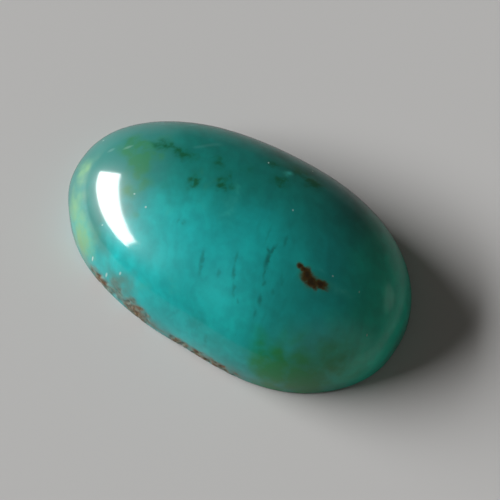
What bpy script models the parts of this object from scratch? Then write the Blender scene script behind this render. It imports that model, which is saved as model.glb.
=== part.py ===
"""Polished oval cabochon of gem silica: one stone, domed above, flat below.

Units are metres and +Z is up. The stone lies on its flat back at Z = 0, and the
origin is the middle of its footprint. +X runs along the stone to its broader end,
and -Y is the long side that carries the rim of brown host rock.

The solid is a stack of closed rings round one hand-ground oval: a small rounded
bevel above the flat back, a short upright girdle wall, and a full dome.
"""

import math
from typing import NamedTuple

import bmesh
import bpy

LENGTH = 0.0240
WIDTH = 0.01455
GIRDLE_HEIGHT = 0.00090
DOME_HEIGHT = 0.00585
BACK_BEVEL = 0.00024

# The oval lies between an ellipse (2) and a rectangle (large numbers).
OVAL_FULLNESS = 2.22
# Share by which the +X end is wider than the middle; the -X end is narrower by it.
BROAD_END_GAIN = 0.076

# Dome height at s, from 0 on the crown to 1 at the girdle, goes with (1 - s squared)
# to this power: 0.5 is a plain ellipse, and a smaller one has fuller shoulders.
SHOULDER_POWER = 0.455
# The crown stands a little to the +X, +Y side of the footprint's middle.
CROWN_SHIFT_X = 0.00020
CROWN_SHIFT_Y = 0.00065

SEGMENTS_ROUND = 96
BEVEL_STEPS = 3
DOME_STEPS = 22
# Only the edge round the flat back is sharper than this.
SHARP_EDGE_DEG = 40.0

STONE_COLOR = (0.017, 0.335, 0.300, 1.0)
STONE_ROUGHNESS = 0.06


class GrindingTouch(NamedTuple):
    """A stretch of the outline ground flatter or left fuller than the plain oval."""

    direction_deg: float
    spread_deg: float
    offset: float


GRINDING_TOUCHES = (
    GrindingTouch(direction_deg=35.0, spread_deg=18.0, offset=-0.000085),
    GrindingTouch(direction_deg=143.0, spread_deg=18.0, offset=-0.000050),
    GrindingTouch(direction_deg=208.0, spread_deg=9.0, offset=-0.000070),
    GrindingTouch(direction_deg=232.0, spread_deg=13.0, offset=0.000100),
    GrindingTouch(direction_deg=274.0, spread_deg=13.0, offset=-0.000165),
    GrindingTouch(direction_deg=306.0, spread_deg=13.0, offset=0.000085),
    GrindingTouch(direction_deg=346.0, spread_deg=10.0, offset=0.000050),
)


def clear_scene():
    """Remove every object that the scene holds."""
    for obj in list(bpy.data.objects):
        bpy.data.objects.remove(obj, do_unlink=True)


def touch_offset(angle_deg):
    """Sum of the grinding touches at one angle round the oval, outward positive."""
    total = 0.0
    for touch in GRINDING_TOUCHES:
        away = (angle_deg - touch.direction_deg + 180.0) % 360.0 - 180.0
        total += touch.offset * math.exp(-((away / touch.spread_deg) ** 2))
    return total


def outline_point(angle_deg):
    """Point of the girdle outline, at an angle round the oval before it is stretched."""
    cosine = math.cos(math.radians(angle_deg))
    sine = math.sin(math.radians(angle_deg))
    reach = (abs(cosine) ** OVAL_FULLNESS + abs(sine) ** OVAL_FULLNESS) ** (-1.0 / OVAL_FULLNESS)
    along = reach * cosine
    x = LENGTH / 2.0 * along
    y = WIDTH / 2.0 * reach * sine * (1.0 + BROAD_END_GAIN * along)
    grow = 1.0 + touch_offset(angle_deg) / math.hypot(x, y)
    return x * grow, y * grow


def girdle_outline():
    """Outline points in order, moved so that their bounding box is centred."""
    step = 360.0 / SEGMENTS_ROUND
    points = [outline_point(step * index) for index in range(SEGMENTS_ROUND)]
    middle_x = (max(x for x, _ in points) + min(x for x, _ in points)) / 2.0
    middle_y = (max(y for _, y in points) + min(y for _, y in points)) / 2.0
    return [(x - middle_x, y - middle_y) for x, y in points]


def wall_ring(outline, inset, height):
    """Ring of the outline drawn inward by inset at one height."""
    ring = []
    for x, y in outline:
        shrink = 1.0 - inset / math.hypot(x, y)
        ring.append((x * shrink, y * shrink, height))
    return ring


def bevel_rings(outline):
    """Rings of the quarter round between the flat back and the girdle wall."""
    rings = []
    for step in range(BEVEL_STEPS + 1):
        turn = math.radians(90.0 * step / BEVEL_STEPS)
        inset = BACK_BEVEL * (1.0 - math.sin(turn))
        height = BACK_BEVEL * (1.0 - math.cos(turn))
        rings.append(wall_ring(outline, inset, height))
    return rings


def dome_height(share):
    """Height of the dome above the girdle at a share of the way out from the crown."""
    return DOME_HEIGHT * (1.0 - share * share) ** SHOULDER_POWER


def dome_rings(outline):
    """Rings from the girdle's top edge up to the last one short of the crown."""
    rings = []
    for step in range(DOME_STEPS):
        share = math.cos(math.radians(90.0 * step / DOME_STEPS))
        height = GIRDLE_HEIGHT + dome_height(share)
        shift = 1.0 - share * share
        rings.append(
            [
                (share * x + shift * CROWN_SHIFT_X, share * y + shift * CROWN_SHIFT_Y, height)
                for x, y in outline
            ]
        )
    return rings


def add_ring(bm, points):
    """Vertices at the points, joined in order by a closed loop of edges."""
    verts = [bm.verts.new(point) for point in points]
    return [bm.edges.new((verts[index - 1], verts[index])) for index in range(len(verts))]


def add_back(bm, edges):
    """Flat face inside the lowest ring, looking down."""
    made = bmesh.ops.contextual_create(bm, geom=edges)
    bmesh.ops.triangulate(bm, faces=made["faces"])


def add_crown(bm, edges):
    """Fan of triangles from the last ring to the crown point."""
    made = bmesh.ops.contextual_create(bm, geom=edges)
    fan = bmesh.ops.poke(bm, faces=made["faces"])
    crown = fan["verts"][0]
    crown.co = (CROWN_SHIFT_X, CROWN_SHIFT_Y, GIRDLE_HEIGHT + dome_height(0.0))


def stone_material():
    """Polished blue-green chalcedony."""
    material = bpy.data.materials.new("polished_gem_silica")
    material.use_nodes = True
    shader = material.node_tree.nodes["Principled BSDF"]
    shader.inputs["Base Color"].default_value = STONE_COLOR
    shader.inputs["Roughness"].default_value = STONE_ROUGHNESS
    shader.inputs["Metallic"].default_value = 0.0
    material.diffuse_color = STONE_COLOR
    return material


def build_cabochon():
    """The whole stone as one closed, outward-facing solid."""
    outline = girdle_outline()
    bm = bmesh.new()
    rings = [add_ring(bm, points) for points in bevel_rings(outline) + dome_rings(outline)]
    for lower, upper in zip(rings, rings[1:]):
        bmesh.ops.bridge_loops(bm, edges=lower + upper)
    add_back(bm, rings[0])
    add_crown(bm, rings[-1])
    bmesh.ops.recalc_face_normals(bm, faces=bm.faces)

    mesh = bpy.data.meshes.new("cabochon")
    bm.to_mesh(mesh)
    bm.free()
    mesh.shade_smooth()
    mesh.set_sharp_from_angle(angle=math.radians(SHARP_EDGE_DEG))
    mesh.materials.append(stone_material())
    stone = bpy.data.objects.new("cabochon", mesh)
    bpy.context.scene.collection.objects.link(stone)
    return stone


def main():
    """Clear the scene and build the stone."""
    clear_scene()
    build_cabochon()


main()
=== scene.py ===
"""Gem silica cabochon: one polished blue-green stone with a rim of brown host rock.

The stone is one closed surface round the same oval and dome as its CAD solid, ground
finely enough for clean reflections, with real pits where the host rock meets the rim.
Its finish is procedural: a clouded turquoise body, green moss, olive patches, dark
healed cracks, one rusty fleck and the host rock, under a glassy polish. Some of its
colour is painted light: a green glow at the broad end, and dark and pale painted
reflections near the narrow end. The flat back is left finely ground.

Meshes are in metres and +Z is up. Marks are placed in millimetres, in the same frame.
"""

import logging
import math
from dataclasses import dataclass, field, replace
from enum import Enum
from functools import cached_property
from typing import Any, NamedTuple

import bpy
import numpy as np
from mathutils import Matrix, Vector


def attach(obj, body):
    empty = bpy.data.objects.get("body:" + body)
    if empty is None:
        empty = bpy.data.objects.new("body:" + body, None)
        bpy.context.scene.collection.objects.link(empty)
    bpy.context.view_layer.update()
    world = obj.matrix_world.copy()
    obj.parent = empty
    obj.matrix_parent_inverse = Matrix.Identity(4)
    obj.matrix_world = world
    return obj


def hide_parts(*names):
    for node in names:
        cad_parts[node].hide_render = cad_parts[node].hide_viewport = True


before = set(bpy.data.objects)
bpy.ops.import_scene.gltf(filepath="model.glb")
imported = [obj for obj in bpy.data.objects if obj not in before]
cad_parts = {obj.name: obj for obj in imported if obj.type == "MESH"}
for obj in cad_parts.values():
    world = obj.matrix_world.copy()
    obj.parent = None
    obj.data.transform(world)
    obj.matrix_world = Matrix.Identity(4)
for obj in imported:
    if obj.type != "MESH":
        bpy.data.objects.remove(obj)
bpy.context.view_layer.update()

LOG = logging.getLogger("cabochon")
MILLIMETRE = 0.001

Socket = bpy.types.NodeSocket
Pair = tuple[float, float]
Triple = tuple[float, float, float]

ORIGIN = (0.0, 0.0, 0.0)
DRIFT_SEEDS = (21, 22, 23)
# A noise node's values lie mostly within this of a half.
NOISE_SWING = 0.25
# Half size of a streak's mark as a share of its run, so that streaks in a row overlap.
STREAK_REACH = 0.62


class Tint(Enum):
    """The stone's colours, as linear red, green and blue; some carry painted light, as their names
    say.
    """

    TURQUOISE = (0.004, 0.405, 0.402)
    MID_TEAL = (0.003, 0.265, 0.238)
    TEAL = (0.003, 0.182, 0.152)
    # Painted glow: light that passes through the stone to its broad end, painted as colour.
    PAINTED_SEA_GLOW = (0.006, 0.530, 0.350)
    # Grey smoky teal, which at the narrow end is partly painted reflection of the dark room.
    SMOKE = (0.031, 0.213, 0.187)
    # Darker green for the slopes, and painted reflection of the dark room near the window
    # highlight.
    DUSK_AND_PAINTED_REFLECTION = (0.001, 0.095, 0.065)
    MOSS = (0.000, 0.096, 0.044)
    MOSS_HALO = (0.001, 0.145, 0.100)
    CRACK = (0.001, 0.115, 0.095)
    OLIVE = (0.031, 0.200, 0.085)
    # Yellow-green, made pale and grey as painted reflection of the bright floor.
    PALE_OLIVE_AND_PAINTED_REFLECTION = (0.170, 0.380, 0.190)
    LEAF = (0.004, 0.205, 0.047)
    MILKY = (0.030, 0.360, 0.300)
    RUST = (0.085, 0.045, 0.004)
    UMBER = (0.022, 0.012, 0.002)
    HOST_HAZE = (0.075, 0.185, 0.155)
    HOST_BROWN = (0.145, 0.098, 0.058)
    HOST_GREY = (0.170, 0.190, 0.150)
    OCHRE = (0.420, 0.330, 0.100)
    PALE_SPECK = (0.450, 0.620, 0.570)
    GROUND = (0.120, 0.340, 0.310)


class Edge(Enum):
    """How a mark ends: the share of its half size that has full strength."""

    HAZY = 0.0
    SOFT = 0.35


class GrindingTouch(NamedTuple):
    """A stretch of the outline ground flatter or left fuller than the plain oval."""

    direction_deg: float
    spread_deg: float
    offset: float


GRINDING_TOUCHES = (
    GrindingTouch(35.0, 18.0, -0.000085),
    GrindingTouch(143.0, 18.0, -0.000050),
    GrindingTouch(208.0, 9.0, -0.000070),
    GrindingTouch(232.0, 13.0, 0.000100),
    GrindingTouch(274.0, 13.0, -0.000165),
    GrindingTouch(306.0, 13.0, 0.000085),
    GrindingTouch(346.0, 10.0, 0.000050),
)


def heading(azimuth_deg: float, elevation_deg: float = 0.0) -> Triple:
    """Direction of length one.

    Args:
        azimuth_deg: Its turn about the upright axis, anticlockwise from +X.
        elevation_deg: Its angle above the level.

    Returns:
        Its x, y and z.
    """
    azimuth, elevation = math.radians(azimuth_deg), math.radians(elevation_deg)
    level = math.cos(elevation)
    return (math.cos(azimuth) * level, math.sin(azimuth) * level, math.sin(elevation))


def ripple(points: np.ndarray, wavelength: float, seed: int, waves: int = 24) -> np.ndarray:
    """Smooth noise: the sum of plane waves in random directions and phases.

    Args:
        points: Places, in the same unit as the wavelength; the last axis is x, y, z.
        wavelength: Middle wavelength; each wave's own is within a third of it.
        seed: Start of the random draws.
        waves: Number of waves.

    Returns:
        Values round zero with a spread of about one, shaped as the places are.
    """
    draw = np.random.default_rng(seed)
    headings = draw.normal(size=(waves, 3))
    headings /= np.linalg.norm(headings, axis=1, keepdims=True)
    lengths = wavelength * draw.uniform(0.67, 1.33, size=(waves, 1))
    phases = draw.uniform(0.0, math.tau, size=waves)
    turns = points @ (headings * math.tau / lengths).T + phases
    return np.cos(turns).sum(axis=-1) * math.sqrt(2.0 / waves)


def smooth_rise(value: np.ndarray, start: float, end: float) -> np.ndarray:
    """Smooth step from 0 at start to 1 at end."""
    share = np.clip((value - start) / (end - start), 0.0, 1.0)
    return share * share * (3.0 - 2.0 * share)


class ShaderGraph:
    """Short calls that add and join the nodes of one node tree."""

    def __init__(self, tree: bpy.types.NodeTree) -> None:
        """Start from an empty tree.

        Args:
            tree: Node tree that is cleared and then filled.
        """
        self.tree = tree
        tree.nodes.clear()

    def add(self, kind: str, **settings: Any) -> bpy.types.Node:
        """Add one node.

        Args:
            kind: Blender's name for the node's type.
            **settings: Values of the node's own properties.

        Returns:
            The new node.
        """
        node = self.tree.nodes.new(kind)
        for name, value in settings.items():
            setattr(node, name, value)
        return node

    def feed(self, socket: Socket, value: Any) -> None:
        """Link an output to a socket, or set the socket's own value.

        Args:
            socket: Input that takes the value.
            value: Another node's output, a number, or a tuple of numbers.
        """
        if isinstance(value, bpy.types.NodeSocket):
            self.tree.links.new(value, socket)
        elif isinstance(value, tuple) and len(socket.default_value) > len(value):
            socket.default_value = (*value, 1.0)
        else:
            socket.default_value = value

    def math(self, operation: str, first: Any, second: Any = 0.0) -> Socket:
        """Result of one sum on two numbers.

        Args:
            operation: Blender's name for the sum.
            first: Number or output.
            second: Number or output.

        Returns:
            The node's output.
        """
        node = self.add("ShaderNodeMath", operation=operation)
        self.feed(node.inputs[0], first)
        self.feed(node.inputs[1], second)
        return node.outputs[0]

    def scaled(self, vector: Socket, factor: Any) -> Socket:
        """A vector or colour times a number.

        Args:
            vector: Output with the vector or colour.
            factor: Number or output that multiplies it.

        Returns:
            The node's output.
        """
        node = self.add("ShaderNodeVectorMath", operation="SCALE")
        self.feed(node.inputs[0], vector)
        self.feed(node.inputs["Scale"], factor)
        return node.outputs[0]

    def local(self, place: Socket, middle: Triple, heading_deg: float, half: Triple) -> Socket:
        """A place as seen from a box that is turned about the upright axis.

        Args:
            place: Output with the place.
            middle: Middle of the box.
            heading_deg: Direction of its first side, anticlockwise from +X.
            half: Its half sizes, which become one.

        Returns:
            The node's output.
        """
        node = self.add("ShaderNodeMapping", vector_type="TEXTURE")
        self.feed(node.inputs["Vector"], place)
        self.feed(node.inputs["Location"], middle)
        self.feed(node.inputs["Rotation"], (0.0, 0.0, math.radians(heading_deg)))
        self.feed(node.inputs["Scale"], half)
        return node.outputs["Vector"]

    def toward(self, place: Socket, direction: Triple) -> Socket:
        """How far a place lies along a direction.

        Args:
            place: Output with the place.
            direction: The direction, whose length multiplies the result.

        Returns:
            The node's output.
        """
        node = self.add("ShaderNodeVectorMath", operation="DOT_PRODUCT")
        self.feed(node.inputs[0], place)
        self.feed(node.inputs[1], direction)
        return node.outputs["Value"]

    def noise(self, place: Socket, scale: float, detail: float = 2.0) -> bpy.types.Node:
        """Fractal noise at a place.

        Args:
            place: Output with the place.
            scale: Ripples for each unit of the place.
            detail: Number of finer layers.

        Returns:
            The noise node, whose first output is a number and second a colour.
        """
        node = self.add("ShaderNodeTexNoise")
        self.feed(node.inputs["Vector"], place)
        self.feed(node.inputs["Scale"], scale)
        self.feed(node.inputs["Detail"], detail)
        return node

    def moved(self, place: Socket, noise: bpy.types.Node, amount: float) -> Socket:
        """A place moved about by noise, so that marks have natural shapes.

        Args:
            place: Output with the place.
            noise: Noise node whose colour gives the move.
            amount: Largest usual move, in the place's unit.

        Returns:
            The moved place.
        """
        shift = self.add("ShaderNodeVectorMath", operation="SUBTRACT")
        self.feed(shift.inputs[0], noise.outputs[1])
        self.feed(shift.inputs[1], (0.5, 0.5, 0.5))
        total = self.add("ShaderNodeVectorMath", operation="ADD")
        self.feed(total.inputs[0], place)
        self.feed(total.inputs[1], self.scaled(shift.outputs[0], amount / NOISE_SWING))
        return total.outputs[0]

    def ramp(
        self, value: Socket, start: float, end: float, low: float = 0.0, high: float = 1.0
    ) -> Socket:
        """Smooth change from one number to another as a value goes from start to end.

        Args:
            value: Output that is read.
            start: Value at which the result is low.
            end: Value at which the result is high.
            low: Result at and before the start.
            high: Result at and after the end.

        Returns:
            The node's output.
        """
        node = self.add("ShaderNodeMapRange", interpolation_type="SMOOTHSTEP", clamp=False)
        for name, number in (
            ("Value", value),
            ("From Min", start),
            ("From Max", end),
            ("To Min", low),
            ("To Max", high),
        ):
            self.feed(node.inputs[name], number)
        return node.outputs["Result"]

    def mix(self, factor: Any, first: Any, second: Any) -> Socket:
        """Blend of two colours.

        Args:
            factor: Share of the second colour.
            first: Colour or output.
            second: Colour or output.

        Returns:
            The node's colour output.
        """
        node = self.add("ShaderNodeMix", data_type="RGBA")
        sockets = [socket for socket in node.inputs if socket.enabled]
        for socket, value in zip(sockets, (factor, first, second)):
            self.feed(socket, value)
        return next(socket for socket in node.outputs if socket.enabled)


@dataclass(frozen=True)
class Mark:
    """One lens-shaped patch at the stone's skin, in millimetres.

    Attributes:
        x: Plan place of its middle.
        y: Plan place of its middle.
        along: Half size along its heading.
        across: Half size across its heading.
        heading_deg: Direction of its long side, anticlockwise from +X.
        strength: Share of its colour at its middle.
        deep: Half size upright.
        z: Height of its middle, or None for the dome's own height there.
    """

    x: float
    y: float
    along: float
    across: float
    heading_deg: float = 0.0
    strength: float = 1.0
    deep: float = 1.6
    z: float | None = None

    def closeness(self, points: np.ndarray) -> np.ndarray:
        """How near each point is to the mark's middle.

        The offset from the middle is turned to the mark's heading and divided by its
        half sizes, so that the mark becomes a ball of radius one.

        Args:
            points: Places in millimetres; the last axis is x, y, z.

        Returns:
            The strength times one less the distance, and 0 outside the ball.
        """
        turn = math.radians(self.heading_deg)
        offset_x, offset_y = points[..., 0] - self.x, points[..., 1] - self.y
        along = (offset_x * math.cos(turn) + offset_y * math.sin(turn)) / self.along
        across = (offset_y * math.cos(turn) - offset_x * math.sin(turn)) / self.across
        upright = (points[..., 2] - self.z) / self.deep
        distance = np.sqrt(along**2 + across**2 + upright**2)
        return self.strength * np.clip(1.0 - distance, 0.0, 1.0)


def streak(start: Pair, end: Pair, width: float, strength: float) -> Mark:
    """A thin mark between two plan points, in millimetres.

    Args:
        start: One end.
        end: The other end.
        width: Full width in the middle.
        strength: Share of its colour along its middle.

    Returns:
        The mark.
    """
    run, rise = end[0] - start[0], end[1] - start[1]
    return Mark(
        x=(start[0] + end[0]) / 2.0,
        y=(start[1] + end[1]) / 2.0,
        along=math.hypot(run, rise) * STREAK_REACH,
        across=width * 0.5,
        heading_deg=math.degrees(math.atan2(rise, run)),
        strength=strength,
    )


HOST_ROCK = (
    Mark(-6.4, -6.2, 1.5, 1.6, -16.0, 0.95, deep=1.3, z=0.7),
    Mark(-4.9, -6.6, 1.4, 1.4, -14.0, 0.5, deep=1.6, z=1.3),
    Mark(-3.3, -6.95, 1.4, 1.7, -10.0, 1.1, deep=1.4, z=1.0),
    Mark(-1.7, -7.15, 1.3, 1.4, -2.0, 0.32, deep=0.9, z=0.55),
    Mark(0.05, -7.2, 1.0, 1.6, 0.0, 0.85, deep=0.95, z=0.55),
    Mark(1.6, -7.2, 0.9, 1.8, 0.0, 1.05, deep=0.9, z=0.5),
    Mark(3.05, -7.24, 1.1, 1.6, 0.0, 1.05, deep=0.85, z=0.6),
    Mark(4.0, -7.18, 1.0, 1.2, 2.0, 0.6, deep=0.6, z=0.35),
)

RIM_HAZE = (
    Mark(-4.7, -6.35, 1.1, 0.8, -22.0, 0.9, deep=2.0, z=2.4),
    Mark(-6.0, -5.7, 0.8, 0.6, -30.0, 0.35, deep=1.6, z=2.4),
)

EDGE_NICKS = (
    Mark(10.9, -3.2, 0.3, 0.3, 0.0, 1.0, deep=0.25, z=0.05),
    Mark(7.9, 6.0, 0.42, 0.3, -20.0, 1.0, deep=0.22, z=0.05),
    Mark(-3.1, 7.05, 0.35, 0.3, 5.0, 1.0, deep=0.25, z=0.05),
    Mark(-10.6, 2.8, 0.28, 0.3, 50.0, 1.0, deep=0.2, z=0.05),
)


@dataclass(frozen=True)
class StoneForm:
    """Shape of the cabochon: an oval footprint, a short girdle and a full dome.

    Lengths are in metres, or in millimetres where the name says so. A zone is where a
    smooth rise starts and ends.
    """

    length: float = 0.0240
    width: float = 0.01455
    girdle_height: float = 0.00090
    dome_height: float = 0.00585
    back_bevel: float = 0.00024
    oval_fullness: float = 2.22
    broad_end_gain: float = 0.076
    shoulder_power: float = 0.455
    crown_shift: Pair = (0.00020, 0.00065)
    solid_segments: int = 96
    columns: int = 600
    column_packing: float = 0.5
    back_rows: int = 14
    back_spacing: float = 0.6
    bevel_rows: int = 8
    wall_rows: int = 9
    dome_rows: int = 128
    pit_depth: float = 0.00009
    pit_size_mm: float = 0.60
    pit_seed: int = 5
    pit_waves: int = 48
    pit_rock_zone: Pair = (0.05, 0.45)
    pit_grain_zone: Pair = (0.2, 1.5)
    nick_depth: float = 0.00010
    nick_zone: Pair = (0.0, 0.8)
    polish_wave: float = 0.000003
    polish_wave_mm: float = 3.2
    polish_seed: int = 11
    polish_zone_mm: Pair = (1.0, 3.0)

    def outline(self, turn: np.ndarray) -> np.ndarray:
        """Points of the oval before it is centred.

        The oval is a superellipse whose width grows evenly towards +X. Each grinding
        touch then moves it outward by a bell curve of the angle.

        Args:
            turn: Angles round the oval, in radians.

        Returns:
            An array of plan points, one row for each angle.
        """
        cosine, sine = np.cos(turn), np.sin(turn)
        power = self.oval_fullness
        reach = (np.abs(cosine) ** power + np.abs(sine) ** power) ** (-1.0 / power)
        along = reach * cosine
        x = self.length / 2.0 * along
        y = self.width / 2.0 * reach * sine * (1.0 + self.broad_end_gain * along)
        offset = np.zeros_like(turn)
        for touch in GRINDING_TOUCHES:
            away = (np.degrees(turn) - touch.direction_deg + 180.0) % 360.0 - 180.0
            offset += touch.offset * np.exp(-((away / touch.spread_deg) ** 2))
        grow = 1.0 + offset / np.hypot(x, y)
        return np.stack([x * grow, y * grow], axis=-1)

    def centred_outline(self, turn: np.ndarray) -> np.ndarray:
        """Outline points moved as the solid's are, so that its box is centred.

        Args:
            turn: Angles round the oval, in radians.

        Returns:
            An array of plan points, one row for each angle.
        """
        steps = np.arange(self.solid_segments) * (math.tau / self.solid_segments)
        solid = self.outline(steps)
        return self.outline(turn) - (solid.max(axis=0) + solid.min(axis=0)) / 2.0

    def stations(self) -> np.ndarray:
        """Rings of the surface from the back's middle up to the last one below the crown.

        Returns:
            One row for each ring: its share of the outline's size, its inset from that,
            its height, and the share of the crown's shift that it takes.
        """
        disc = (np.arange(1, self.back_rows) / self.back_rows) ** self.back_spacing
        back = np.stack([disc, disc * self.back_bevel, disc * 0.0, disc * 0.0], axis=-1)
        roll = np.linspace(0.0, math.pi / 2.0, self.bevel_rows)
        inset = self.back_bevel * (1.0 - np.sin(roll))
        rise = self.back_bevel * (1.0 - np.cos(roll))
        bevel = np.stack([np.ones_like(roll), inset, rise, roll * 0.0], axis=-1)
        climb = np.linspace(self.back_bevel, self.girdle_height, self.wall_rows)[1:-1]
        wall = np.stack([np.ones_like(climb), climb * 0.0, climb, climb * 0.0], axis=-1)
        arc = np.linspace(0.0, math.pi / 2.0, self.dome_rows, endpoint=False)
        share = np.cos(arc)
        dome_rise = self.dome_height * (1.0 - share * share) ** self.shoulder_power
        height = self.girdle_height + dome_rise
        dome = np.stack([share, share * 0.0, height, 1.0 - share * share], axis=-1)
        return np.concatenate([back, bevel, wall, dome])

    def turns(self) -> np.ndarray:
        """Angles of the columns, packed twice as close along -Y, where the host rock is."""
        even = np.arange(self.columns) * (math.tau / self.columns)
        return even - self.column_packing * np.cos(even)

    def polished_rings(self) -> np.ndarray:
        """Points of every ring of the surface before its pits and nicks.

        A ring is the outline times its share, less its inset along the radius, plus its
        share of the crown's shift, at its own height.

        Returns:
            An array of ring by column by three coordinates, in metres.
        """
        plan = self.centred_outline(self.turns())
        radius = np.hypot(plan[:, 0], plan[:, 1])
        share, inset, height, shift = self.stations().T[..., np.newaxis]
        scale = share - inset / radius
        x = scale * plan[:, 0] + shift * self.crown_shift[0]
        y = scale * plan[:, 1] + shift * self.crown_shift[1]
        return np.stack([x, y, np.broadcast_to(height, x.shape)], axis=-1)

    def rings(self) -> np.ndarray:
        """Points of every ring of the finished surface.

        Each point moves inward, towards the stone's upright axis. The move is a pit's
        depth where fine smooth noise is high inside the host rock, a nick's depth near
        a nick's middle, and a long low wave that a hand polish leaves on the dome.

        Returns:
            An array of ring by column by three coordinates, in metres.
        """
        points = self.polished_rings()
        places = points / MILLIMETRE
        rock = np.max([mark.closeness(places) for mark in HOST_ROCK], axis=0)
        grain = ripple(places, self.pit_size_mm, self.pit_seed, self.pit_waves)
        pits = smooth_rise(rock, *self.pit_rock_zone) * smooth_rise(grain, *self.pit_grain_zone)
        near = np.max([mark.closeness(places) for mark in EDGE_NICKS], axis=0)
        nicks = smooth_rise(near, *self.nick_zone)
        dome = smooth_rise(places[..., 2], *self.polish_zone_mm)
        swell = ripple(places, self.polish_wave_mm, self.polish_seed)
        wave = self.polish_wave * dome * (1.0 + swell)
        inward = self.pit_depth * pits + self.nick_depth * nicks + wave
        radius = np.maximum(np.hypot(points[..., 0], points[..., 1]), MILLIMETRE)
        shrink = 1.0 - inward / radius
        points[..., 0] *= shrink
        points[..., 1] *= shrink
        return points

    def crown(self) -> Triple:
        """Highest point of the dome."""
        return (*self.crown_shift, self.girdle_height + self.dome_height)

    @cached_property
    def dome_mm(self) -> np.ndarray:
        """Grid points of the polished dome, in millimetres."""
        return self.polished_rings()[-self.dome_rows :] / MILLIMETRE

    def settled(self, mark: Mark) -> Mark:
        """A mark put at the dome's own height where it has none of its own.

        Args:
            mark: Mark with or without a height.

        Returns:
            The mark, at the height of the dome's nearest grid point.
        """
        if mark.z is not None:
            return mark
        gap = np.hypot(self.dome_mm[..., 0] - mark.x, self.dome_mm[..., 1] - mark.y)
        return replace(mark, z=float(self.dome_mm[..., 2].flat[int(gap.argmin())]))


@dataclass(frozen=True)
class Growth:
    """A kind of growth in the stone, or of painted light on it: one colour and one way of ending.

    Attributes:
        tint: Its colour.
        marks: Where it is.
        edge: How its marks end.
        spread: Factor on the size of its marks.
        share: Factor on its strength.
        drift_mm: How far noise moves the marks' outlines, in millimetres.
        frayed: How strongly fine noise breaks up its edge.
        grain: Ripples of the fine noise for each millimetre.
    """

    tint: Tint
    marks: tuple[Mark, ...]
    edge: Edge = Edge.HAZY
    spread: float = 1.0
    share: float = 1.0
    drift_mm: float = 0.15
    frayed: float = 0.3
    grain: float = 2.5


@dataclass(frozen=True)
class SoftGrowth(Growth):
    """A broad kind of growth, kept as a value at each point of the mesh.

    Attributes:
        drift_size_mm: Wavelength of the noise that moves its marks, in millimetres.
    """

    drift_size_mm: float = 1.5

    @property
    def name(self) -> str:
        """Name of the mesh attribute that holds it."""
        return self.tint.name.lower()

    def store(self, mesh: bpy.types.Mesh, form: StoneForm, places: np.ndarray) -> None:
        """Keep how near each point of a mesh is to the growth, as an attribute.

        Args:
            mesh: Mesh that takes the attribute.
            form: Shape of the stone, for the dome's height.
            places: The mesh's points, in millimetres.
        """
        drift = [ripple(places, self.drift_size_mm, seed) for seed in DRIFT_SEEDS]
        moved = places + self.drift_mm * np.stack(drift, axis=-1)
        nearest = np.zeros(len(places))
        for mark in map(form.settled, self.marks):
            grown = replace(
                mark, along=mark.along * self.spread, across=mark.across * self.spread
            )
            nearest = np.maximum(nearest, grown.closeness(moved))
        attribute = mesh.attributes.new(self.name, "FLOAT", "POINT")
        attribute.data.foreach_set("value", nearest.astype(np.float32))

    def mask(self, graph: ShaderGraph, place: Socket) -> Socket:
        """Strength of the growth at each place.

        Fine noise round one multiplies the closeness, so that it ends where the growth
        does, and a smooth step turns the product into a strength.

        Args:
            graph: Node tree that takes the nodes.
            place: Output with the place, in millimetres.

        Returns:
            The node's output.
        """
        near = graph.add("ShaderNodeAttribute", attribute_name=self.name).outputs["Fac"]
        noise = graph.noise(place, self.grain, 4.0).outputs[0]
        swing = 2.0 * self.frayed
        fray = graph.ramp(noise, 0.5 - NOISE_SWING, 0.5 + NOISE_SWING, 1.0 - swing, 1.0 + swing)
        frayed = graph.math("MULTIPLY", near, fray)
        return graph.ramp(frayed, 0.0, 1.0 - self.edge.value, 0.0, self.share)


@dataclass(frozen=True)
class FineGrowth(Growth):
    """A fine kind of growth, worked out by the material's own nodes."""

    drift_mm: float = 0.06
    frayed: float = 0.5
    grain: float = 2.2

    def mask(self, graph: ShaderGraph, form: StoneForm, place: Socket) -> Socket:
        """Strength of the growth at each place.

        Each mark becomes a ball of radius one, noise is added to the distance from its
        middle, and the strength falls smoothly to nothing at the ball's surface.

        Args:
            graph: Node tree that takes the nodes.
            form: Shape of the stone, for the dome's height.
            place: Output with the place, in millimetres.

        Returns:
            The output with the strongest mark's strength.
        """
        noise = graph.noise(place, self.grain, 3.0)
        shifted = graph.moved(place, noise, self.drift_mm)
        fray = graph.math("MULTIPLY", noise.outputs[0], 2.0 * self.frayed)
        fray = graph.math("SUBTRACT", fray, self.frayed)
        strongest = None
        for mark in map(form.settled, self.marks):
            half = tuple(size * self.spread for size in (mark.along, mark.across, mark.deep))
            local = graph.local(shifted, (mark.x, mark.y, mark.z), mark.heading_deg, half)
            length = graph.add("ShaderNodeVectorMath", operation="LENGTH")
            graph.feed(length.inputs[0], local)
            reach = graph.math("ADD", length.outputs["Value"], fray)
            strength = mark.strength * self.share
            mask = graph.ramp(reach, self.edge.value, 1.0, strength, 0.0)
            strongest = mask if strongest is None else graph.math("MAXIMUM", strongest, mask)
        return strongest


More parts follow.
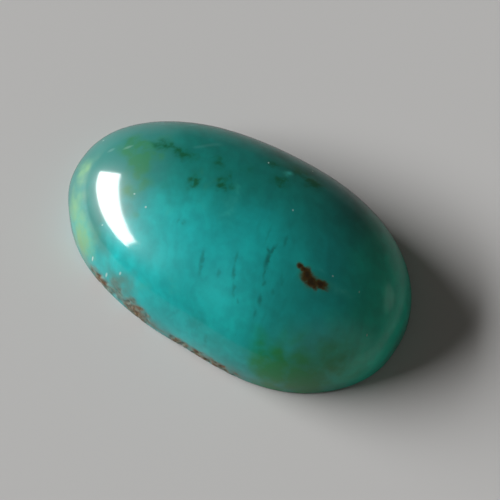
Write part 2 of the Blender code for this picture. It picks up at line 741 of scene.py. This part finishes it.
MOSS_SPOTS = (
    Mark(-6.78, 2.09, 0.52, 0.26, 3.0, 0.9),
    Mark(-5.42, 2.02, 0.46, 0.26, -15.0, 0.95),
    Mark(-4.49, 2.09, 0.26, 0.22, 0.0, 0.65),
    Mark(-2.95, 2.55, 0.42, 0.24, -60.0, 0.6),
    Mark(-1.82, 1.9, 0.38, 0.15, -42.0, 0.5),
    Mark(-3.49, 0.53, 0.34, 0.24, -70.0),
    Mark(-1.98, 1.56, 0.25, 0.2, 0.0, 0.75),
    Mark(-1.72, 1.16, 0.36, 0.26, 30.0),
    Mark(0.0, 4.54, 0.38, 0.32, 0.0, 0.6),
    Mark(-0.99, 3.11, 0.45, 0.25, 30.0, 0.3),
    Mark(1.07, 3.53, 0.38, 0.34, 0.0, 0.9),
    Mark(1.72, 5.02, 0.75, 0.36, -10.0, 0.6),
    Mark(2.64, 4.78, 0.55, 0.42, 30.0, 0.8),
    Mark(-5.12, -0.64, 0.35, 0.25, 0.0, 0.25),
    Mark(-2.7, -2.21, 0.3, 0.22, 0.0, 0.3),
)

DARK_STREAKS = (
    streak((-0.57, -3.08), (-0.14, -4.25), 0.32, 0.62),
    streak((1.4, -2.05), (1.62, -2.88), 0.28, 0.5),
    streak((1.62, -2.88), (1.9, -3.66), 0.26, 0.65),
    streak((2.14, -3.8), (2.55, -4.45), 0.28, 0.6),
    streak((2.8, -4.45), (3.05, -4.7), 0.26, 0.45),
    streak((2.82, -0.9), (3.13, -1.3), 0.26, 0.85),
    streak((3.2, -0.55), (3.1, -1.3), 0.26, 0.85),
    streak((3.06, -1.05), (3.4, -2.2), 0.36, 1.0),
    streak((3.38, -2.1), (3.62, -2.7), 0.24, 0.7),
    streak((3.75, -2.8), (3.9, -3.15), 0.26, 0.6),
    streak((3.98, -3.5), (4.12, -4.15), 0.34, 0.8),
    streak((4.14, -4.45), (4.3, -4.9), 0.24, 0.5),
    streak((2.3, 0.5), (2.52, -0.7), 0.2, 0.3),
    streak((3.46, 0.36), (3.66, -0.34), 0.26, 0.6),
    streak((4.42, -1.75), (4.76, -2.45), 0.28, 0.35),
    streak((4.45, -2.95), (4.58, -3.25), 0.24, 0.45),
    streak((0.88, -3.5), (1.02, -3.95), 0.26, 0.4),
    streak((1.85, -6.7), (2.05, -7.1), 0.34, 0.35),
    streak((-0.85, -6.8), (-0.3, -6.5), 0.3, 0.3),
)

FLECK_LOBES = (
    Mark(5.15, -0.8, 0.22, 0.19, 0.0),
    Mark(5.45, -0.86, 0.32, 0.2, -5.0),
    Mark(5.8, -1.1, 0.46, 0.38, -52.0),
    Mark(6.26, -1.22, 0.5, 0.36, -12.0),
    Mark(6.76, -1.05, 0.5, 0.28, 14.0),
)

# Smoky teal at the narrow end and two smaller smoky spots; over the narrow end it is partly painted
# reflection of the dark room.
SMOKY_END_AND_PAINTED_REFLECTION = (
    Mark(-9.8, 0.6, 6.2, 6.2, 0.0, 1.0, deep=9.0, z=3.0),
    # This mark is partly painted reflection: the dark room in the polish beside the window
    # highlight.
    Mark(-7.7, -3.4, 3.0, 2.1, -40.0, 0.9, deep=5.0, z=3.8),
    Mark(-4.32, 2.91, 0.5, 0.36, 0.0, 0.7),
    Mark(3.3, 5.86, 1.3, 0.8, -20.0, 0.75),
)

# Darker patches on the slopes and lower side; the last mark is painted reflection of the dark room.
DUSKY_SLOPE_AND_PAINTED_REFLECTION = (
    Mark(1.0, 5.1, 3.6, 1.5, -4.0, 0.8, deep=4.0, z=5.0),
    Mark(-4.6, 3.6, 2.2, 1.0, 5.0, 0.35, deep=4.0, z=5.3),
    Mark(0.6, -6.1, 4.6, 2.4, -4.0, 0.4, deep=3.5, z=3.7),
    # Painted reflection: the dark room in the polish between the bright rim and the window
    # highlight.
    Mark(-8.0, -3.2, 2.2, 0.9, -47.0, 0.48, deep=2.0, z=4.4),
)

OLIVE_PATCHES = (
    Mark(-8.1, 1.15, 2.0, 1.6, 20.0, 1.1, deep=3.5),
    Mark(-7.35, 0.2, 2.2, 1.4, -62.0, 1.05, deep=3.5),
    Mark(-6.75, -1.5, 1.5, 0.9, -62.0, 0.75, deep=3.5),
    Mark(-7.1, 2.05, 1.5, 1.1, 30.0, 0.75, deep=3.5),
    Mark(-2.6, 0.9, 0.8, 0.6, 0.0, 0.45),
)

# Yellow-green patches at the narrow end's rim, paler and greyer as painted reflection of the bright
# floor seen in the polish.
LEFT_RIM_PATCHES_AND_PAINTED_REFLECTION = (
    Mark(-8.65, -5.0, 2.4, 1.5, -38.0, 1.2, deep=2.4),
    Mark(-10.15, -3.5, 1.8, 1.1, -60.0, 1.0, deep=2.2),
    Mark(-10.8, -1.3, 1.5, 0.9, -75.0, 0.8, deep=1.8),
)

LEAF_PATCHES = (
    Mark(6.8, -6.3, 2.5, 2.0, 8.0, 1.25, deep=5.5),
    Mark(8.4, -5.7, 2.8, 1.9, 30.0, 1.25, deep=7.0),
    Mark(9.6, -4.2, 3.2, 2.4, 40.0, 0.75, deep=5.0),
    Mark(5.3, -5.9, 1.5, 1.3, -10.0, 0.7, deep=2.5),
    Mark(7.3, -4.4, 2.4, 1.4, 25.0, 0.45, deep=3.0),
)

MILKY_PATCHES = (
    Mark(7.95, -0.45, 1.3, 0.45, 22.0, 0.6),
    Mark(1.1, 4.23, 0.6, 0.45, 0.0, 0.7),
    Mark(6.4, -0.2, 0.6, 0.35, 0.0, 0.35),
    Mark(-3.05, -6.1, 0.8, 0.6, 0.0, 0.5),
    Mark(-0.95, 1.15, 1.1, 0.55, -62.0, 0.35),
    Mark(-3.95, -2.1, 1.3, 0.35, -75.0, 0.28),
    Mark(-2.4, -0.7, 1.2, 0.4, -50.0, 0.22),
    Mark(-0.6, -0.1, 1.6, 0.8, -60.0, 0.42),
    Mark(-1.2, -5.4, 1.6, 0.6, -20.0, 0.3),
)

PALE_SPECKS = (
    Mark(-0.4, 4.39, 0.09, 0.06, 120.0),
    Mark(2.82, 2.09, 0.09, 0.06, 120.0, 0.6),
    Mark(2.01, 5.83, 0.08, 0.07, 0.0, 0.5),
    Mark(-5.36, -2.3, 0.09, 0.09, 0.0, 0.6),
    Mark(-6.52, -1.83, 0.09, 0.07, 0.0, 0.5),
    Mark(-7.29, -5.77, 0.1, 0.07, 100.0),
    Mark(-5.92, -6.26, 0.1, 0.09, 0.0, 0.7),
    Mark(-4.95, -6.08, 0.1, 0.1, 0.0, 0.6),
    Mark(-7.47, -4.2, 0.07, 0.07, 0.0, 0.6),
    Mark(-10.96, 1.21, 0.1, 0.07, 60.0, 0.7),
    Mark(7.13, -0.15, 0.08, 0.07, 0.0, 0.5),
    Mark(8.94, 0.09, 0.1, 0.05, 110.0, 0.6),
    Mark(10.61, -1.67, 0.1, 0.05, 110.0, 0.6),
    streak((-9.99, 0.23), (-9.65, 0.66), 0.28, 0.16),
    streak((-9.07, 0.73), (-8.61, 1.26), 0.28, 0.2),
)

SOFT_GROWTHS = (
    SoftGrowth(
        Tint.SMOKE, SMOKY_END_AND_PAINTED_REFLECTION, Edge.SOFT, drift_mm=0.5, frayed=0.12, grain=0.8, drift_size_mm=4.0
    ),
    SoftGrowth(
        Tint.DUSK_AND_PAINTED_REFLECTION, DUSKY_SLOPE_AND_PAINTED_REFLECTION, drift_mm=0.3, frayed=0.15, grain=1.0, drift_size_mm=3.0
    ),
    SoftGrowth(Tint.OLIVE, OLIVE_PATCHES, share=0.85, drift_mm=0.3, frayed=0.28, grain=1.3),
    SoftGrowth(Tint.PALE_OLIVE_AND_PAINTED_REFLECTION, LEFT_RIM_PATCHES_AND_PAINTED_REFLECTION, drift_mm=0.2, frayed=0.08),
    SoftGrowth(Tint.LEAF, LEAF_PATCHES, share=0.92, drift_mm=0.2, frayed=0.12, grain=1.4),
    SoftGrowth(Tint.MOSS_HALO, MOSS_SPOTS, spread=2.8, share=0.52),
    SoftGrowth(
        Tint.MOSS, MOSS_SPOTS, spread=2.2, drift_mm=0.09, frayed=0.38, grain=2.6, drift_size_mm=0.7
    ),
    SoftGrowth(Tint.MILKY, MILKY_PATCHES),
    SoftGrowth(
        Tint.HOST_HAZE, HOST_ROCK + RIM_HAZE, spread=2.0, share=0.85, drift_mm=0.2, frayed=0.12,
        grain=1.5,
    ),
)
FINE_GROWTHS = (
    FineGrowth(Tint.CRACK, DARK_STREAKS, spread=1.35, share=0.85, drift_mm=0.08),
    FineGrowth(Tint.OLIVE, FLECK_LOBES, spread=2.1, share=0.5),
    FineGrowth(Tint.RUST, FLECK_LOBES, Edge.SOFT, spread=1.45, frayed=0.4, grain=3.0),
    FineGrowth(Tint.UMBER, FLECK_LOBES, spread=1.30, frayed=0.6, grain=3.0),
    FineGrowth(Tint.PALE_SPECK, PALE_SPECKS, Edge.SOFT, drift_mm=0.0, frayed=0.2),
)
ROCK_GROWTH = SoftGrowth(
    Tint.HOST_BROWN, HOST_ROCK, Edge.SOFT, 1.08, frayed=0.18, grain=2.0, drift_size_mm=0.9
)


class Fade(NamedTuple):
    """A colour that takes over along a direction, between two distances in millimetres."""

    tint: Tint
    direction: Triple
    start: float
    end: float


class Clouding(NamedTuple):
    """Noise that lightens and darkens the body colour by up to its swing."""

    scale: float
    detail: float
    between: Pair
    swing: float


@dataclass(frozen=True)
class GemSilicaFinish:
    """Polished gem silica: clouded colour under a glassy skin, and a ground back.

    A scale is in ripples for each millimetre, and a pair of numbers is where a ramp starts
    and ends. The glow's reach in each colour and the scratches' depth are in metres.
    """

    name: str = "gem_silica_polish"
    drift_scale: float = 0.30
    drift_mm: float = 0.9
    fades: tuple[Fade, ...] = (
        Fade(Tint.MID_TEAL, (1.0, 0.0, 0.0), -1.5, 7.0),
        Fade(Tint.TEAL, (-0.28, 1.0, 0.0), -3.0, 3.2),
        # Painted light: the green glow of light passing through the stone to its broad end.
        Fade(Tint.PAINTED_SEA_GLOW, (1.0, 0.32, 0.0), 6.2, 11.0),
    )
    clouds: Clouding = Clouding(0.22, 3.0, (0.34, 0.66), 0.09)
    mottle: Clouding = Clouding(1.3, 4.0, (0.30, 0.70), 0.07)
    wisps: Clouding = Clouding(1.0, 3.0, (0.30, 0.70), 0.06)
    wisp_heading_deg: float = -62.0
    wisp_size_mm: Triple = (2.6, 0.60, 1.5)
    rock_patch_scale: float = 1.6
    grey_patches: Pair = (0.42, 0.60)
    rock_grain_scale: float = 4.5
    rusty_grains: Pair = (0.50, 0.66)
    yellow_grains: Pair = (0.36, 0.28)
    rock_grain_share: float = 0.6
    rock_dullness: float = 0.85
    body_roughness: float = 0.37
    rock_roughness: float = 0.60
    polish_roughness: float = 0.10
    refractive_index: float = 1.54
    body_gloss: float = 0.28
    glow_share: float = 0.35
    glow_reach: Triple = (0.00030, 0.00090, 0.00080)
    back_height_mm: Pair = (0.10, 0.24)
    back_paleness: float = 0.35
    scratch_heading_deg: float = 24.0
    scratch_size_mm: Triple = (2.0, 0.05, 1.0)
    grit_scale: float = 9.0
    scratch_depth: float = 0.000004

    def body_color(self, graph: ShaderGraph, place: Socket) -> Socket:
        """Clouded turquoise that darkens up the slope, with a painted green glow at the broad end:
        light that passes through the stone, painted into its colour.

        Args:
            graph: Node tree that takes the nodes.
            place: Output with the place, in millimetres.

        Returns:
            The colour's output.
        """
        drift = graph.moved(place, graph.noise(place, self.drift_scale, 3.0), self.drift_mm)
        color = Tint.TURQUOISE.value
        for fade in self.fades:
            reached = graph.ramp(graph.toward(drift, fade.direction), fade.start, fade.end)
            color = graph.mix(reached, color, fade.tint.value)
        drawn_out = graph.local(drift, ORIGIN, self.wisp_heading_deg, self.wisp_size_mm)
        shade = 1.0
        for where, layer in ((place, self.clouds), (place, self.mottle), (drawn_out, self.wisps)):
            noise = graph.noise(where, layer.scale, layer.detail).outputs[0]
            swung = graph.ramp(noise, *layer.between, 1.0 - layer.swing, 1.0 + layer.swing)
            shade = graph.math("MULTIPLY", shade, swung)
        return graph.scaled(color, shade)

    def rock_color(self, graph: ShaderGraph, place: Socket) -> Socket:
        """Brown host rock with rusty, grey and yellow grains.

        Args:
            graph: Node tree that takes the nodes.
            place: Output with the place, in millimetres.

        Returns:
            The colour's output.
        """
        patches = graph.noise(place, self.rock_patch_scale, 3.0).outputs[0]
        grains = graph.noise(place, self.rock_grain_scale, 4.0).outputs[0]
        grey = graph.ramp(patches, *self.grey_patches)
        rusty = graph.ramp(grains, *self.rusty_grains, 0.0, self.rock_grain_share)
        yellow = graph.ramp(grains, *self.yellow_grains, 0.0, self.rock_grain_share)
        color = graph.mix(grey, Tint.HOST_BROWN.value, Tint.HOST_GREY.value)
        color = graph.mix(rusty, color, Tint.RUST.value)
        return graph.mix(yellow, color, Tint.OCHRE.value)

    def material(self, form: StoneForm) -> bpy.types.Material:
        """The finished material.

        Args:
            form: Shape of the stone, which the marks are placed on.

        Returns:
            The material.
        """
        material = bpy.data.materials.new(self.name)
        material.use_nodes = True
        graph = ShaderGraph(material.node_tree)
        coordinates = graph.add("ShaderNodeTexCoord")
        place = graph.scaled(coordinates.outputs["Object"], 1.0 / MILLIMETRE)

        color = self.body_color(graph, place)
        for growth in SOFT_GROWTHS:
            color = graph.mix(growth.mask(graph, place), color, growth.tint.value)
        for growth in FINE_GROWTHS:
            color = graph.mix(growth.mask(graph, form, place), color, growth.tint.value)
        rock = ROCK_GROWTH.mask(graph, place)
        color = graph.mix(rock, color, self.rock_color(graph, place))

        parts = graph.add("ShaderNodeSeparateXYZ")
        graph.feed(parts.inputs[0], place)
        ground = graph.ramp(parts.outputs["Z"], *self.back_height_mm, 1.0, 0.0)
        pale = graph.math("MULTIPLY", ground, self.back_paleness)
        color = graph.mix(pale, color, Tint.GROUND.value)
        dull = graph.math("MAXIMUM", graph.math("MULTIPLY", rock, self.rock_dullness), ground)

        along = graph.local(place, ORIGIN, self.scratch_heading_deg, self.scratch_size_mm)
        scratches = graph.noise(along, 1.0).outputs[0]
        grit = graph.noise(place, self.grit_scale, 3.0).outputs[0]
        relief = graph.math("MULTIPLY", graph.math("ADD", scratches, grit), dull)
        bump = graph.add("ShaderNodeBump")
        graph.feed(bump.inputs["Height"], relief)
        graph.feed(bump.inputs["Distance"], self.scratch_depth)

        shader = graph.add("ShaderNodeBsdfPrincipled")
        settings = {
            "Base Color": color,
            "Roughness": graph.ramp(dull, 0.0, 1.0, self.body_roughness, self.rock_roughness),
            "IOR": self.refractive_index,
            "Specular IOR Level": self.body_gloss,
            "Subsurface Weight": self.glow_share,
            "Subsurface Radius": self.glow_reach,
            "Subsurface Scale": 1.0,
            "Coat Weight": graph.ramp(dull, 0.0, 1.0, 1.0, 0.0),
            "Coat Roughness": self.polish_roughness,
            "Coat IOR": self.refractive_index,
            "Normal": bump.outputs["Normal"],
        }
        for name, value in settings.items():
            graph.feed(shader.inputs[name], value)
        output = graph.add("ShaderNodeOutputMaterial")
        graph.feed(output.inputs["Surface"], shader.outputs["BSDF"])
        return material


def closed_surface(
    name: str, rings: np.ndarray, first_pole: np.ndarray, last_pole: np.ndarray
) -> bpy.types.Object:
    """Object from rings of points, each joined to the next, closed by a point at both ends.

    Args:
        name: Name of the object and its mesh.
        rings: Array of ring by column by three coordinates, in metres.
        first_pole: Point that closes the first ring.
        last_pole: Point that closes the last ring.

    Returns:
        The object, linked to the scene and smooth shaded.
    """
    count, columns = rings.shape[:2]
    points = np.concatenate([rings.reshape(-1, 3), [first_pole], [last_pole]])
    column = np.arange(columns)
    beside = (column + 1) % columns
    start = np.arange(count - 1)[:, np.newaxis] * columns
    quads = np.stack(
        [start + column, start + beside, start + columns + beside, start + columns + column],
        axis=-1,
    ).reshape(-1, 4)
    top = (count - 1) * columns
    low_pole = np.full(columns, count * columns)
    low_fan = np.stack([beside, column, low_pole], axis=-1)
    high_fan = np.stack([top + column, top + beside, low_pole + 1], axis=-1)
    mesh = bpy.data.meshes.new(name)
    mesh.from_pydata(points.tolist(), [], quads.tolist() + low_fan.tolist() + high_fan.tolist())
    mesh.update()
    mesh.shade_smooth()
    made = bpy.data.objects.new(name, mesh)
    bpy.context.scene.collection.objects.link(made)
    return made


@dataclass
class Cabochon:
    """The stone itself."""

    form: StoneForm = field(default_factory=StoneForm)
    finish: GemSilicaFinish = field(default_factory=GemSilicaFinish)
    name: str = "gem_silica_stone"

    def build(self) -> bpy.types.Object:
        """Make the polished surface.

        Returns:
            The stone's object.
        """
        rings = self.form.rings()
        return closed_surface(self.name, rings, np.zeros(3), np.array(self.form.crown()))

    def dress(self, stone: bpy.types.Object) -> None:
        """Give the stone its finish and tie it to the CAD body.

        Args:
            stone: The stone's object.
        """
        points = np.zeros(len(stone.data.vertices) * 3)
        stone.data.vertices.foreach_get("co", points)
        places = points.reshape(-1, 3) / MILLIMETRE
        for growth in (*SOFT_GROWTHS, ROCK_GROWTH):
            growth.store(stone.data, self.form, places)
        stone.data.materials.append(self.finish.material(self.form))
        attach(stone, "root")
        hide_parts("cabochon")


def staged_face(name: str, corners: list[Vector], material: bpy.types.Material) -> bpy.types.Object:
    """One flat face that is part of the stage.

    Args:
        name: Name of the object and its mesh.
        corners: Its corners in order, in metres.
        material: Its material.

    Returns:
        The object, linked to the scene.
    """
    mesh = bpy.data.meshes.new(name)
    mesh.from_pydata(corners, [], [tuple(range(len(corners)))])
    mesh.materials.append(material)
    made = bpy.data.objects.new(name, mesh)
    bpy.context.scene.collection.objects.link(made)
    return made


@dataclass(frozen=True)
class Floor:
    """Plain pale satin floor, wide enough to fill the stone's low reflections.

    Attributes:
        half_size: Half of its side, in metres.
        color: Its colour as it is seen and as it lights the stone.
        mirrored_color: Its colour in the stone's reflections, held down as by a dark flag.
        far_mirrored_color: The same for its part beyond the stone.
        far_azimuth_deg: Direction from the stone to that part, anticlockwise from +X.
        far_reach: Distance over which one turns into the other, in metres.
        roughness: Roughness of its sheen.
        sheen: Specular level of its sheen.
    """

    half_size: float = 1.2
    color: Triple = (0.565, 0.562, 0.556)
    mirrored_color: Triple = (0.335, 0.330, 0.323)
    far_mirrored_color: Triple = (0.140, 0.138, 0.136)
    far_azimuth_deg: float = 70.0
    far_reach: float = 0.025
    roughness: float = 0.60
    sheen: float = 0.35

    def material(self) -> bpy.types.Material:
        """The floor's paint."""
        material = bpy.data.materials.new("pale_floor")
        material.use_nodes = True
        graph = ShaderGraph(material.node_tree)
        mirrored = graph.add("ShaderNodeLightPath").outputs["Is Glossy Ray"]
        place = graph.add("ShaderNodeTexCoord").outputs["Object"]
        beyond = graph.toward(place, heading(self.far_azimuth_deg))
        flagged = graph.mix(
            graph.ramp(beyond, 0.0, self.far_reach), self.mirrored_color, self.far_mirrored_color
        )
        shader = graph.add("ShaderNodeBsdfPrincipled")
        color = graph.mix(mirrored, self.color, flagged)
        graph.feed(shader.inputs["Base Color"], color)
        graph.feed(shader.inputs["Roughness"], self.roughness)
        graph.feed(shader.inputs["Specular IOR Level"], self.sheen)
        output = graph.add("ShaderNodeOutputMaterial")
        graph.feed(output.inputs["Surface"], shader.outputs["BSDF"])
        return material

    def build(self) -> bpy.types.Object:
        """Make the floor.

        Returns:
            The floor's object.
        """
        square = ((-1.0, -1.0), (1.0, -1.0), (1.0, 1.0), (-1.0, 1.0))
        corners = [Vector((x, y, 0.0)) * self.half_size for x, y in square]
        return staged_face("floor", corners, self.material())


@dataclass(frozen=True)
class WindowPanel:
    """Bright upright panel, soft as a window, whose lower edge is cut on a slant.

    Attributes:
        azimuth_deg: Direction of its plane's nearest point, anticlockwise from +X.
        corners: Its corners, sideways and up, as shares of its distance.
        radiance: Brightness of its face.
        distance: How far away its plane is, in metres.
    """

    azimuth_deg: float = 202.93
    corners: tuple[Pair, ...] = (
        (-0.560, 0.270),
        (-0.200, 0.270),
        (0.480, 0.470),
        (0.430, 0.710),
        (-0.615, 0.690),
    )
    radiance: float = 21.0
    distance: float = 6.0

    def build(self) -> bpy.types.Object:
        """Make the panel.

        Returns:
            The panel's object, which the camera doesn't see.
        """
        toward = Vector(heading(self.azimuth_deg))
        side = Vector(heading(self.azimuth_deg + 90.0))
        upright = Vector((0.0, 0.0, 1.0))
        corners = [
            (toward + side * across + upright * rise) * self.distance
            for across, rise in self.corners
        ]
        material = bpy.data.materials.new("window_glow")
        material.use_nodes = True
        graph = ShaderGraph(material.node_tree)
        glow = graph.add("ShaderNodeEmission")
        graph.feed(glow.inputs["Strength"], self.radiance)
        output = graph.add("ShaderNodeOutputMaterial")
        graph.feed(output.inputs["Surface"], glow.outputs["Emission"])
        panel = staged_face("window_panel", corners, material)
        panel.visible_camera = False
        return panel


class PaleWall(NamedTuple):
    """A broad soft patch of the room that is paler than the rest."""

    azimuth_deg: float
    elevation_deg: float
    core_deg: float
    reach_deg: float
    color: Triple


@dataclass(frozen=True)
class DimRoom:
    """Weak light from all round, with pale walls in front of the stone.

    Attributes:
        horizon: Colour low down.
        overhead: Colour high up.
        high: Sine of the elevation at which the one has turned into the other.
        backdrop: Colour that the camera sees past the floor's edge.
        walls: Its paler patches.
    """

    horizon: Triple = (0.052, 0.046, 0.041)
    overhead: Triple = (0.054, 0.049, 0.044)
    high: float = 0.9
    backdrop: Triple = (0.400, 0.395, 0.390)
    walls: tuple[PaleWall, ...] = (
        PaleWall(-36.0, 12.0, 22.0, 52.0, (0.215, 0.208, 0.200)),
        PaleWall(34.0, 9.0, 5.0, 12.0, (0.320, 0.312, 0.300)),
    )

    def build(self) -> bpy.types.World:
        """Make the world's shading.

        Returns:
            The world.
        """
        world = bpy.data.worlds.new("dim_room")
        world.use_nodes = True
        graph = ShaderGraph(world.node_tree)
        outward = graph.add("ShaderNodeTexCoord").outputs["Generated"]
        parts = graph.add("ShaderNodeSeparateXYZ")
        graph.feed(parts.inputs[0], outward)
        upward = graph.ramp(parts.outputs["Z"], 0.0, self.high)
        room = graph.mix(upward, self.horizon, self.overhead)
        for wall in self.walls:
            axis = heading(wall.azimuth_deg, wall.elevation_deg)
            near = graph.ramp(
                graph.toward(outward, axis),
                math.cos(math.radians(wall.reach_deg)),
                math.cos(math.radians(wall.core_deg)),
            )
            room = graph.mix(near, room, wall.color)
        seen = graph.add("ShaderNodeLightPath").outputs["Is Camera Ray"]
        background = graph.add("ShaderNodeBackground")
        graph.feed(background.inputs["Color"], graph.mix(seen, room, self.backdrop))
        output = graph.add("ShaderNodeOutputWorld")
        graph.feed(output.inputs["Surface"], background.outputs["Background"])
        bpy.context.scene.world = world
        return world


@dataclass(frozen=True)
class StoneCamera:
    """Camera that looks down on the stone from beside its broad end.

    Its azimuth is 0 where it looks along +Y. The sensor is in millimetres, and the other
    lengths are in metres.
    """

    azimuth_deg: float = 31.93
    elevation_deg: float = 65.0
    distance: float = 0.200
    frame_width: float = 0.03233
    target: Triple = (0.000381, 0.000910, 0.0)
    sensor: float = 36.0
    clip: Pair = (0.01, 10.0)

    def build(self) -> bpy.types.Object:
        """Make the camera and set it as the scene's.

        Returns:
            The camera's object.
        """
        back = Vector(heading(self.azimuth_deg - 90.0, self.elevation_deg))
        lens = bpy.data.cameras.new("camera")
        lens.sensor_width = self.sensor
        lens.lens = self.sensor * self.distance / self.frame_width
        lens.clip_start, lens.clip_end = self.clip
        camera = bpy.data.objects.new("camera", lens)
        camera.location = Vector(self.target) + back * self.distance
        camera.rotation_euler = back.to_track_quat("Z", "Y").to_euler()
        bpy.context.scene.collection.objects.link(camera)
        bpy.context.scene.camera = camera
        return camera


def main() -> None:
    """Build the stone, its stage, its light and its camera."""
    logging.basicConfig(level=logging.INFO, format="%(name)s: %(message)s")
    cabochon = Cabochon()
    stone = cabochon.build()
    cabochon.dress(stone)
    LOG.info("%s: %d faces", stone.name, len(stone.data.polygons))
    for setting in (Floor(), WindowPanel(), DimRoom(), StoneCamera()):
        LOG.info("%s is set", setting.build().name)
    bpy.context.scene.view_settings.view_transform = "Standard"


if __name__ == "__main__":
    main()
